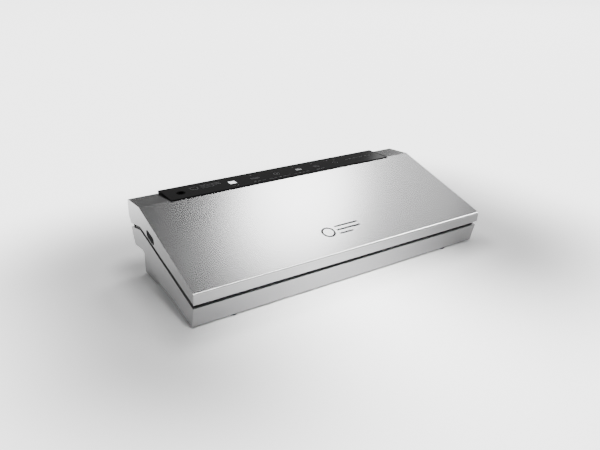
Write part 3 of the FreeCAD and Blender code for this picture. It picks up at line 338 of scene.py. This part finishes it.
def soften(obj, radius):
    """Weld the tessellation, make flat faces whole and round the hard edges, as modifiers."""
    weld = obj.modifiers.new("weld", "WELD")
    weld.merge_threshold = 1e-6
    flat = obj.modifiers.new("flat", "DECIMATE")
    flat.decimate_type = "DISSOLVE"
    flat.angle_limit = FLAT_ANGLE
    bevel = obj.modifiers.new("bevel", "BEVEL")
    bevel.width = radius * MM
    bevel.segments = 3
    bevel.limit_method = "ANGLE"
    bevel.angle_limit = SHARP_ANGLE
    bevel.use_clamp_overlap = True
    bevel.harden_normals = True
    normals = obj.modifiers.new("normals", "WEIGHTED_NORMAL")
    normals.keep_sharp = True
    for face in obj.data.polygons:
        face.use_smooth = True


def dress_nodes():
    """Materials and broken edges for the nodes that come from CAD."""
    for name, obj in frame["nodes"].items():
        mat = MATERIALS[NODE_SLOT[name]]
        if name == "base_shell":
            mat = PAINTED
        elif name in ("chamber_deck", "lid_inner"):
            mat = INNER
        obj.data.materials.clear()
        obj.data.materials.append(mat)
        if name not in COILS:
            soften(obj, SOFT_EDGE.get(name, PLAIN_EDGE))


# ------------------------------------------------------------------ mesh helpers
def piece(name, bm, mat, body):
    """A finished mesh object that rides on a body."""
    mesh = bpy.data.meshes.new(name)
    bm.to_mesh(mesh)
    bm.free()
    for face in mesh.polygons:
        face.use_smooth = True
    mesh.materials.append(mat)
    obj = bpy.data.objects.new(name, mesh)
    scene.collection.objects.link(obj)
    normals = obj.modifiers.new("normals", "WEIGHTED_NORMAL")
    normals.keep_sharp = True
    if body:
        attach(obj, body)
    return obj


class Surface:
    """A plane on which prints are laid: a point, two directions along it and its normal."""

    def __init__(self, origin, across, along):
        self.origin = Vector(origin)
        self.across = Vector(across).normalized()
        self.along = Vector(along).normalized()
        self.normal = self.across.cross(self.along)

    def at(self, u, v, lift=0.0):
        """The point u, v millimetres along the plane and lift millimetres above it."""
        return self.origin + (self.across * u + self.along * v + self.normal * lift) * MM


PRINT_LOW, PRINT_HIGH = -0.02, 0.03     # a print's underside and face, in mm from its surface


def plate(bm, surface, outline, low=PRINT_LOW, high=PRINT_HIGH):
    """A flat plate with a closed outline, by default as thin as a print."""
    top = [bm.verts.new(surface.at(u, v, high)) for u, v in outline]
    bottom = [bm.verts.new(surface.at(u, v, low)) for u, v in outline]
    bm.faces.new(top)
    bm.faces.new(reversed(bottom))
    count = len(outline)
    for i in range(count):
        j = (i + 1) % count
        bm.faces.new((bottom[i], bottom[j], top[j], top[i]))


def band(bm, surface, outer, inner):
    """A print between two outlines that have the same number of points."""
    rings = [[bm.verts.new(surface.at(u, v, lift)) for u, v in line]
             for line in (outer, inner) for lift in (PRINT_HIGH, PRINT_LOW)]
    outer_top, outer_low, inner_top, inner_low = rings
    count = len(outer)
    for i in range(count):
        j = (i + 1) % count
        bm.faces.new((outer_top[i], outer_top[j], inner_top[j], inner_top[i]))
        bm.faces.new((outer_low[j], outer_low[i], inner_low[i], inner_low[j]))
        bm.faces.new((outer_low[i], outer_low[j], outer_top[j], outer_top[i]))
        bm.faces.new((inner_top[i], inner_top[j], inner_low[j], inner_low[i]))


def disc_outline(u, v, radius, count=24):
    """Outline of a disc centred on (u, v)."""
    angles = [math.tau * i / count for i in range(count)]
    return [(u + radius * math.cos(angle), v + radius * math.sin(angle)) for angle in angles]


def round_box(u, v, wide, high, corner, steps=5):
    """Outline of a rectangle with round corners, centred on (u, v)."""
    points = []
    for turn, (side, up) in enumerate(((1, 1), (-1, 1), (-1, -1), (1, -1))):
        cu = u + side * (wide / 2 - corner)
        cv = v + up * (high / 2 - corner)
        for k in range(steps):
            angle = (turn + k / (steps - 1)) * math.pi / 2
            points.append((cu + corner * math.cos(angle), cv + corner * math.sin(angle)))
    return points


def bar(bm, surface, u, v, wide, high):
    """A printed bar with round ends."""
    plate(bm, surface, round_box(u, v, wide, high, min(wide, high) * 0.49, 4))


def dashes(bm, surface, low, high, v, count, gap, thick):
    """A row of short bars where the real panel has a caption."""
    step = (high - low) / count
    for k in range(count):
        bar(bm, surface, low + step * (k + 0.5), v, step - gap, thick)


def frame_box(bm, surface, u, v, wide, high, line, corner):
    """A printed outline of a rectangle with round corners."""
    band(bm, surface, round_box(u, v, wide, high, corner),
         round_box(u, v, wide - 2 * line, high - 2 * line, max(corner - line, 0.05)))


def ring(bm, surface, u, v, radius, line):
    """A printed ring."""
    band(bm, surface, disc_outline(u, v, radius), disc_outline(u, v, radius - line))


# ------------------------------------------------------------------ prints
PANEL_RISE = 0.5 / 40.8                 # the overlay's slope towards the rear
LAMP_ROW, ICON_ROW, CAPTION_ROW, TYPE_ROW = 80, 68.5, 56.5, 71.2
LAMPS = (-41, -9, 22.5, 52.6, 90)
CAPTIONS = ((-78.6, -69), (-50, -32), (-27.5, 6), (10, 35), (45, 59))
TYPE_BARS = ((104, 134), (137, 148))
LID_FRONT, LID_CREST = (-91.5, 44.3), (51.4, 89.2)      # y and z of the sloping top's two edges


def panel_surface():
    """The overlay's top face; u is X and v is Y, from the middle of the object."""
    low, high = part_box("panel_overlay")
    front_z = high.z - (high.y - low.y) * PANEL_RISE
    return Surface((0, 0, front_z - low.y * PANEL_RISE), (1, 0, 0), (0, 1, PANEL_RISE))


def panel_marks():
    """Pictograms, lamps and caption bars of the touch panel, with no lettering."""
    top = panel_surface()
    dim, pale, white = bmesh.new(), bmesh.new(), bmesh.new()
    # a plain ornament at the left end: a ring with three bars beside it
    ring(dim, top, -122.5, 74.5, 5.8, 1.5)
    for v, long in ((78.8, 27), (74.5, 27), (70.2, 16)):
        bar(dim, top, -113.5 + long / 2, v, long, 1.7)
    # lamps
    for u in LAMPS:
        bar(dim, top, u, LAMP_ROW, 3.4, 1.3)
    bar(dim, top, 78, LAMP_ROW + 1.6, 8, 1.3)
    # seal icon: two bars
    bar(pale, top, -41.5, 70.4, 12, 1.3)
    bar(pale, top, -41.5, 66.8, 12, 1.3)
    # moisture icon: a drop in a ring
    ring(pale, top, -8.8, 68.6, 4.4, 0.8)
    plate(pale, top, [(-8.8 + 1.6 * math.sin(t) * math.sin(t / 2), 67.6 - 2.2 * math.cos(t))
                      for t in [math.tau * i / 16 for i in range(16)]][::-1])
    # vacuum and seal icon: a bright pouch
    plate(white, top, round_box(25.3, 68.4, 8.6, 4.2, 1.2))
    bar(white, top, 25.3, 72.4, 6.0, 1.1)
    # mode icon: a pouch outline
    frame_box(pale, top, 53.2, ICON_ROW, 8.0, 6.6, 0.8, 1.4)
    bar(pale, top, 53.2, ICON_ROW, 4.0, 0.9)
    # stop icon: a ring round a bar
    ring(dim, top, 84.8, ICON_ROW, 4.0, 0.8)
    bar(dim, top, 84.8, ICON_ROW, 3.2, 1.0)
    for low, high in CAPTIONS:
        dashes(dim, top, low, high, CAPTION_ROW, max(2, round((high - low) / 7)), 1.3, 1.1)
    for low, high in TYPE_BARS:
        dashes(dim, top, low, high, TYPE_ROW, round((high - low) / 5.5), 1.0, 2.0)
    piece("panel_marks_dim", dim, INK_GREY, "lid")
    piece("panel_marks_pale", pale, INK_PALE, "lid")
    piece("panel_marks_white", white, INK_WHITE, "lid")


def lid_surface():
    """The lid's sloping top; u is X, v runs up the slope from the front edge."""
    (front_y, front_z), (crest_y, crest_z) = LID_FRONT, LID_CREST
    slope = math.atan2(crest_z - front_z, crest_y - front_y)
    return Surface((0, front_y * MM, front_z * MM), (1, 0, 0), (0, math.cos(slope), math.sin(slope)))


def lid_badge():
    """A plain ornament on the lid: a ring with three bars beside it."""
    top = lid_surface()
    dark = bmesh.new()
    ring(dark, top, -15.5, 35.0, 8.8, 2.4)
    for v, long in ((41.5, 34), (35.0, 34), (28.5, 20)):
        bar(dark, top, -3.5 + long / 2, v, long, 2.4)
    piece("lid_badge", dark, INK_DARK, "lid")


# ------------------------------------------------------------------ soft and sprung pieces
TILT = math.radians(13.5)               # the deck and the seam rise towards the rear
SEAM = Surface((0, -0.090, 0.0279), (1, 0, 0), (0, math.cos(TILT), math.sin(TILT)))
HINGE = Vector((0, 0.0832, 0.056))      # the lid's axis, which runs along X
GASKETS = (                             # node, lift of its foot and of its crown, body
    ("lower_gasket", -3.98, -0.3, "base"),
    ("upper_gasket", 3.18, 0.02, "lid"),
)
GASKET_RING = (64, 330, 62, 14)         # v of the middle, width, height and corner radius
STRIP_HALF = 157                        # half the pressure strip's length
HOSE_RADIUS = 3.0
NOZZLE = (135, 72)                      # u and v of the suction nozzle


def skin(bm, rows, closed):
    """Faces between rows of points; the rows close into a loop or end in two caps."""
    for row, after in zip(rows, rows[1:] + (rows[:1] if closed else [])):
        for i in range(len(row)):
            j = (i + 1) % len(row)
            bm.faces.new((row[i], row[j], after[j], after[i]))
    if not closed:
        bm.faces.new(rows[0])
        bm.faces.new(reversed(rows[-1]))
    bmesh.ops.recalc_face_normals(bm, faces=bm.faces)


def ring_sweep(bm, surface, v, wide, high, corner, profile):
    """A closed section of (inset, lift) points carried round a rectangle with round corners."""
    rows = []
    for inset, lift in profile:
        outline = round_box(0, v, wide - 2 * inset, high - 2 * inset, corner - inset, 8)
        rows.append([bm.verts.new(surface.at(a, b, lift)) for a, b in outline])
    skin(bm, rows, closed=True)


def extrusion(bm, surface, low, high, profile):
    """A closed section of (v, lift) points drawn out along the surface's first direction."""
    rows = [[bm.verts.new(surface.at(u, v, lift)) for v, lift in profile] for u in (low, high)]
    skin(bm, rows, closed=False)


def gaskets():
    """Foam rings with a crowned face, the lower in its groove and the upper under the lid."""
    for name, foot, crown, body in GASKETS:
        drop = 1 if crown > foot else -1
        profile = [(0.06, foot), (0.06, crown - 1.5 * drop), (0.4, crown - 0.8 * drop),
                   (1.4, crown - 0.25 * drop), (4, crown), (6.6, crown - 0.25 * drop),
                   (7.6, crown - 0.8 * drop), (7.94, crown - 1.5 * drop), (7.94, foot)]
        bm = bmesh.new()
        ring_sweep(bm, SEAM, *GASKET_RING, profile)
        ring_piece = piece(name + "_foam", bm, MATERIALS["foam_gasket"], body)
        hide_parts(name)


def pressure_strip():
    """Silicone strip that presses the bag on the seal bar: three low ribs along it."""
    profile = [(15.05, 3.18), (15.05, 0.6), (15.5, 0.1)]
    for k in range(3):
        middle = 16.9 + 3.1 * k
        profile += [(middle + step, lift) for step, lift in
                    ((-0.9, -0.05), (-0.45, -0.4), (0, -0.5), (0.45, -0.4), (0.9, -0.05))]
    profile += [(24.5, 0.1), (24.95, 0.6), (24.95, 3.18)]
    bm = bmesh.new()
    extrusion(bm, SEAM, -STRIP_HALF, STRIP_HALF, profile)
    strip = piece("pressure_strip_ribbed", bm, MATERIALS["silicone_pale"], "lid")
    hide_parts("pressure_strip")


def hose_curve(name, points):
    """A round hose along a smooth route between the fittings at its ends, in mm."""
    curve = bpy.data.curves.new(name, "CURVE")
    curve.dimensions = "3D"
    curve.bevel_depth = HOSE_RADIUS * MM
    curve.bevel_resolution = 6
    curve.use_fill_caps = True
    spline = curve.splines.new("NURBS")
    spline.points.add(len(points) - 1)
    for point, spot in zip(spline.points, points):
        point.co = (*(c * MM for c in spot), 1)
    spline.order_u = 3
    spline.use_endpoint_u = True
    spline.resolution_u = 10
    curve.materials.append(MATERIALS["silicone_hose"])
    obj = bpy.data.objects.new(name, curve)
    scene.collection.objects.link(obj)
    return obj


def hoses():
    """Suction and vent hoses in the base, and the port's hose that crosses the hinge."""
    first, below = (tuple(SEAM.at(*NOZZLE, lift) / MM) for lift in (-22, -27))
    routes = {
        "suction_hose": [first, below, (127, -3, 18.5), (120, 9, 20), (120, 21, 20)],
        "vent_hose": [(-154, 0, 24), (-140, 0, 24), (-128, 6, 22), (-100, 14, 21), (-60, 16, 20)],
    }
    for name, points in routes.items():
        obj = hose_curve(name + "_smooth", points)
        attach(obj, "base")
        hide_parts(name)
    route = [(-142, 68.3, 70), (-142, 68.3, 60), (-142, 67.3, 48), (-146, 56, 40), (-149, 39, 34)]
    obj = hose_curve("port_hose_curve", route)
    mesh = bpy.data.meshes.new_from_object(obj)
    bpy.data.objects.remove(obj)
    tube = bpy.data.objects.new("port_hose_smooth", mesh)
    scene.collection.objects.link(tube)
    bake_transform(tube)
    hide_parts("port_hose")


def harness():
    """Flat six-core harness between the boards."""
    middle_x, cores = -10, 6
    route = [(66.8, 78), (68.0, 72), (69.0, 66), (69.3, 57), (69.0, 49.6), (66.5, 46.8), (60, 43),
             (53.5, 39.2), (51.6, 36.5), (50.7, 28), (49.8, 16.8)]
    section = []
    for side in (1, -1):
        for k in range(cores):
            for offset, bulge in ((-0.85, 0.28), (-0.45, 0.48), (0.0, 0.5), (0.45, 0.48), (0.85, 0.28)):
                section.append((middle_x + side * (1 - cores + 2 * k + offset), side * bulge))
    bm = bmesh.new()
    rows = []
    for i, (y, z) in enumerate(route):
        before = route[max(i - 1, 0)]
        after = route[min(i + 1, len(route) - 1)]
        along = Vector((after[0] - before[0], after[1] - before[1])).normalized()
        rows.append([bm.verts.new(Vector((x, y - along.y * t, z + along.x * t)) * MM)
                     for x, t in section])
    skin(bm, rows, closed=False)
    obj = piece("flex_harness_cores", bm, MATERIALS["harness_grey"], None)
    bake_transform(obj)
    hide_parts("flex_harness")


def coil(name, foot, tip, radius, wire, turns, node):
    """A round-wire spring between two points, in mm."""
    start, end = Vector(foot) * MM, Vector(tip) * MM
    axis = (end - start).normalized()
    side = axis.cross(Vector((0, 1, 0) if abs(axis.y) < 0.9 else (1, 0, 0))).normalized()
    other = axis.cross(side)
    steps, around = 40, 8
    total = round(turns * steps)
    bm = bmesh.new()
    rows = []
    for k in range(total + 1):
        share = k / total
        angle = math.tau * turns * share
        out = side * math.cos(angle) + other * math.sin(angle)
        level = wire + ((end - start).length / MM - 2 * wire) * share
        middle = start + axis * level * MM + out * radius * MM
        rows.append([bm.verts.new(middle + (out * math.cos(t) + axis * math.sin(t)) * wire * MM)
                     for t in (math.tau * i / around for i in range(around))])
    skin(bm, rows, closed=False)
    obj = piece(name, bm, MATERIALS["spring_steel"], None)
    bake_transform(obj)
    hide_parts(node)


def springs():
    """The coils behind the two release buttons and under the vent valve's plunger."""
    for side, sign in (("left", -1), ("right", 1)):
        inner = SEAM.at(sign * 192.0, 116.8, 8.0) / MM
        outer = SEAM.at(sign * 195.6, 116.8, 8.0) / MM
        coil(f"button_coil_{side}", inner, outer, 4.3, 0.3, 3.5,
             f"button_spring_{side}")
    coil("valve_coil", (-162, 39, 14.1), (-162, 39, 18.5), 2.3, 0.25, 4,
         "valve_spring")


# ------------------------------------------------------------------ small mouldings
def hinge_rolls():
    """Rolled rear rim of the deck: black rods on the hinge line between the hinges."""
    line = Surface(HINGE, (1, 0, 0), (0, 1, 0))
    section = disc_outline(0, 0, 3.0, 20)
    bm = bmesh.new()
    for low, high in ((-197.1, -161.5), (-138.5, -24), (4, 138.5), (161.5, 197.1)):
        extrusion(bm, line, low, high, section)
    piece("hinge_rolls", bm, BLACK, "base")


def tray_ribs():
    """Low ribs on the tray's floor that keep a bag off the liquid; the rear two end at the nozzle."""
    bm = bmesh.new()
    for k, end in enumerate((149, 149, 149, 126, 126)):
        v = 51 + 5.4 * k
        profile = [(v + step, lift) for step, lift in
                   ((-0.6, -15.35), (-0.35, -14.3), (0, -14.1), (0.35, -14.3), (0.6, -15.35))]
        extrusion(bm, SEAM, -149, end, profile)
    piece("tray_ribs", bm, MATERIALS["tray_plastic"], "base")


def nozzle_strainer():
    """Slotted dome over the suction nozzle: six wedges with gaps between them."""
    bm = bmesh.new()
    centre_u, centre_v = NOZZLE
    inner, outer, low, high, slots, half = 0.6, 2.7, -8.0, -6.2, 6, 0.36

    def corner(angle, radius, lift):
        return bm.verts.new(SEAM.at(centre_u + radius * math.cos(angle),
                                    centre_v + radius * math.sin(angle), lift))

    for k in range(slots):
        turn = math.tau * k / slots
        angles = (turn - half, turn, turn + half)
        bottom = [corner(angle, outer, low) for angle in angles]
        top = [corner(angle, outer * 0.8, high) for angle in angles]
        core_low, core_top = corner(turn, inner, low), corner(turn, inner, high + 0.5)
        for i in range(2):
            bm.faces.new((bottom[i], bottom[i + 1], top[i + 1], top[i]))
            bm.faces.new((top[i], top[i + 1], core_top))
            bm.faces.new((bottom[i + 1], bottom[i], core_low))
        bm.faces.new((bottom[0], top[0], core_top, core_low))
        bm.faces.new((bottom[2], core_low, core_top, top[2]))
    bmesh.ops.recalc_face_normals(bm, faces=bm.faces)
    piece("nozzle_strainer", bm, BLACK, "base")


def deck_ridges():
    """Fine bag guide ridges in front of the seal bar, with a longer one every fifth."""
    bm = bmesh.new()
    for k in range(-15, 16):
        u = 10 * k
        near, far = (7.2, 9.2) if k % 5 else (6.6, 12.0)
        plate(bm, SEAM, round_box(u, (near + far) / 2, 0.9, far - near, 0.4, 4), -3.02, -2.5)
    piece("deck_ridges", bm, INNER, "base")


# ------------------------------------------------------------------ stage
AIM = Vector((-0.0131, 0.0062, 0.0406))         # the point that the camera looks at
FORWARD = Vector((0.5014, 0.7730, -0.3886)).normalized()
DISTANCE = 0.7664
LENS, SENSOR = 36.8, 36
OUTLINE = (0.197, 0.082, 0.0)                   # half the sealer's outline on the table
FLOOR_REACH = 14
FLOOR_GLOW_AND_PAINTED_SHADOW = (                                  # metres beyond the outline, glow at each; the low glow next to the outline is painted contact shadow
    # the first row keeps the table's glow low beside the sealer: painted contact shadow
    (0.0, 0.05, 0.06, 0.6),
    (0.05, 0.30, 0.0, 2.9),
)
SURROUND = 0.24                                 # what the sealer reflects all round
BACKDROP = 3.2                                  # what the camera sees behind the table
FAR_OFF = 6.0
SOFT_BOXES = (                                  # direction, degrees from middle to edge, radiance
    ((0.500, 0.452, 0.745), 6.2, 22.0),
    ((0.640, 0.385, 0.665), 8.5, 2.0),
    ((0.74, 0.59, 0.34), 10, 1.3),
    # these show only as glints on rounded edges
    ((0.34, -0.45, 0.83), 10, 16.0, True),
    ((0.55, -0.40, 0.73), 10, 30.0, True),
    ((0.71, -0.34, 0.61), 10, 30.0, True),
    ((-0.67, 0.58, 0.47), 9, 14.0, True),
)
POOL_PLACE = Vector((-0.05, -0.50, 0.75))
POOL_AIM = Vector((-0.015, -0.13, 0))
POOL_WATTS = 200
POOL_CONE = math.radians(21)


def camera():
    """The camera, at the angle that shows the left side, the front and the top."""
    cam = bpy.data.objects.new("camera", bpy.data.cameras.new("camera"))
    cam.data.lens = LENS
    cam.data.sensor_width = SENSOR
    cam.location = AIM - FORWARD * DISTANCE
    cam.rotation_euler = FORWARD.to_track_quat("-Z", "Y").to_euler()
    scene.collection.objects.link(cam)
    scene.camera = cam


def floor_glow_and_painted_shadow(mat):
    """Glow that grows with the distance from the sealer's outline on the table, so the table is dim next to
    the sealer as a painted contact shadow.
    """
    place = add(mat, "ShaderNodeTexCoord")
    mirrored = add(mat, "ShaderNodeVectorMath", operation="ABSOLUTE")
    link(mat, place.outputs["Object"], mirrored.inputs[0])
    beyond = add(mat, "ShaderNodeVectorMath", operation="SUBTRACT")
    beyond.inputs[1].default_value = OUTLINE
    link(mat, mirrored.outputs["Vector"], beyond.inputs[0])
    outside = add(mat, "ShaderNodeVectorMath", operation="MAXIMUM")
    link(mat, beyond.outputs["Vector"], outside.inputs[0])
    away = add(mat, "ShaderNodeVectorMath", operation="LENGTH")
    link(mat, outside.outputs["Vector"], away.inputs[0])
    parts = []
    for row in FLOOR_GLOW_AND_PAINTED_SHADOW:
        fade = add(mat, "ShaderNodeMapRange", interpolation_type="SMOOTHSTEP")
        for socket, number in zip(("From Min", "From Max", "To Min", "To Max"), row):
            fade.inputs[socket].default_value = number
        link(mat, away.outputs["Value"], fade.inputs["Value"])
        parts.append(fade.outputs["Result"])
    total = add(mat, "ShaderNodeMath", operation="ADD")
    link(mat, parts[0], total.inputs[0])
    link(mat, parts[1], total.inputs[1])
    return total.outputs["Value"]


def floor():
    """A wide pale table that glows by itself: dim next to the sealer as a painted contact shadow, evenly
    bright further off.
    """
    mesh = bpy.data.meshes.new("floor")
    corners = [(x * FLOOR_REACH, y * FLOOR_REACH, 0) for x, y in ((-1, -1), (1, -1), (1, 1), (-1, 1))]
    mesh.from_pydata(corners, [], [(0, 1, 2, 3)])
    mat, shader = new_material("floor")
    shader.inputs["Base Color"].default_value = (0.82, 0.82, 0.82, 1)
    shader.inputs["Roughness"].default_value = 0.7
    shader.inputs["Specular IOR Level"].default_value = 0.2
    shader.inputs["Emission Color"].default_value = (1, 1, 1, 1)
    # the floor's glow is low near the sealer: painted contact shadow
    link(mat, floor_glow_and_painted_shadow(mat), shader.inputs["Emission Strength"])
    mesh.materials.append(mat)
    obj = bpy.data.objects.new("floor", mesh)
    scene.collection.objects.link(obj)


def surround():
    """A pale backdrop behind the table that gives the sealer only a dim, even glow."""
    world = bpy.data.worlds.new("studio")
    scene.world = world
    world.use_nodes = True
    backdrop = world.node_tree.nodes["Background"]
    backdrop.inputs["Color"].default_value = (1, 1, 1, 1)
    rays = world.node_tree.nodes.new("ShaderNodeLightPath")
    strength = world.node_tree.nodes.new("ShaderNodeMapRange")
    strength.inputs["To Min"].default_value = SURROUND
    strength.inputs["To Max"].default_value = BACKDROP
    world.node_tree.links.new(rays.outputs["Is Camera Ray"], strength.inputs["Value"])
    world.node_tree.links.new(strength.outputs["Result"], backdrop.inputs["Strength"])


def soft_box(direction, spread, radiance, only_glints=False):
    """A round lamp far off in a direction, spread degrees from its middle to its edge."""
    radius = FAR_OFF * math.tan(math.radians(spread))
    lamp = bpy.data.objects.new("soft_box", bpy.data.lights.new("soft_box", "AREA"))
    lamp.data.shape = "DISK"
    lamp.data.size = 2 * radius
    lamp.data.energy = radiance * (math.pi * radius) ** 2
    lamp.location = Vector(direction).normalized() * FAR_OFF
    lamp.rotation_euler = lamp.location.to_track_quat("Z", "Y").to_euler()
    lamp.visible_diffuse = not only_glints
    scene.collection.objects.link(lamp)


def pool():
    """A lamp that brightens the table in front of the sealer and leaves no glint."""
    lamp = bpy.data.objects.new("pool", bpy.data.lights.new("pool", "SPOT"))
    lamp.data.energy = POOL_WATTS
    lamp.data.spot_size = POOL_CONE
    lamp.data.spot_blend = 1.0
    lamp.data.shadow_soft_size = 0.12
    lamp.visible_glossy = False
    lamp.location = POOL_PLACE
    lamp.rotation_euler = (POOL_AIM - POOL_PLACE).to_track_quat("-Z", "Y").to_euler()
    scene.collection.objects.link(lamp)


# ------------------------------------------------------------------ making
dress_nodes()
panel_marks()
lid_badge()
gaskets()
pressure_strip()
hoses()
harness()
springs()
hinge_rolls()
tray_ribs()
nozzle_strainer()
deck_ridges()
camera()
floor()
surround()
for row in SOFT_BOXES:
    soft_box(*row)
pool()
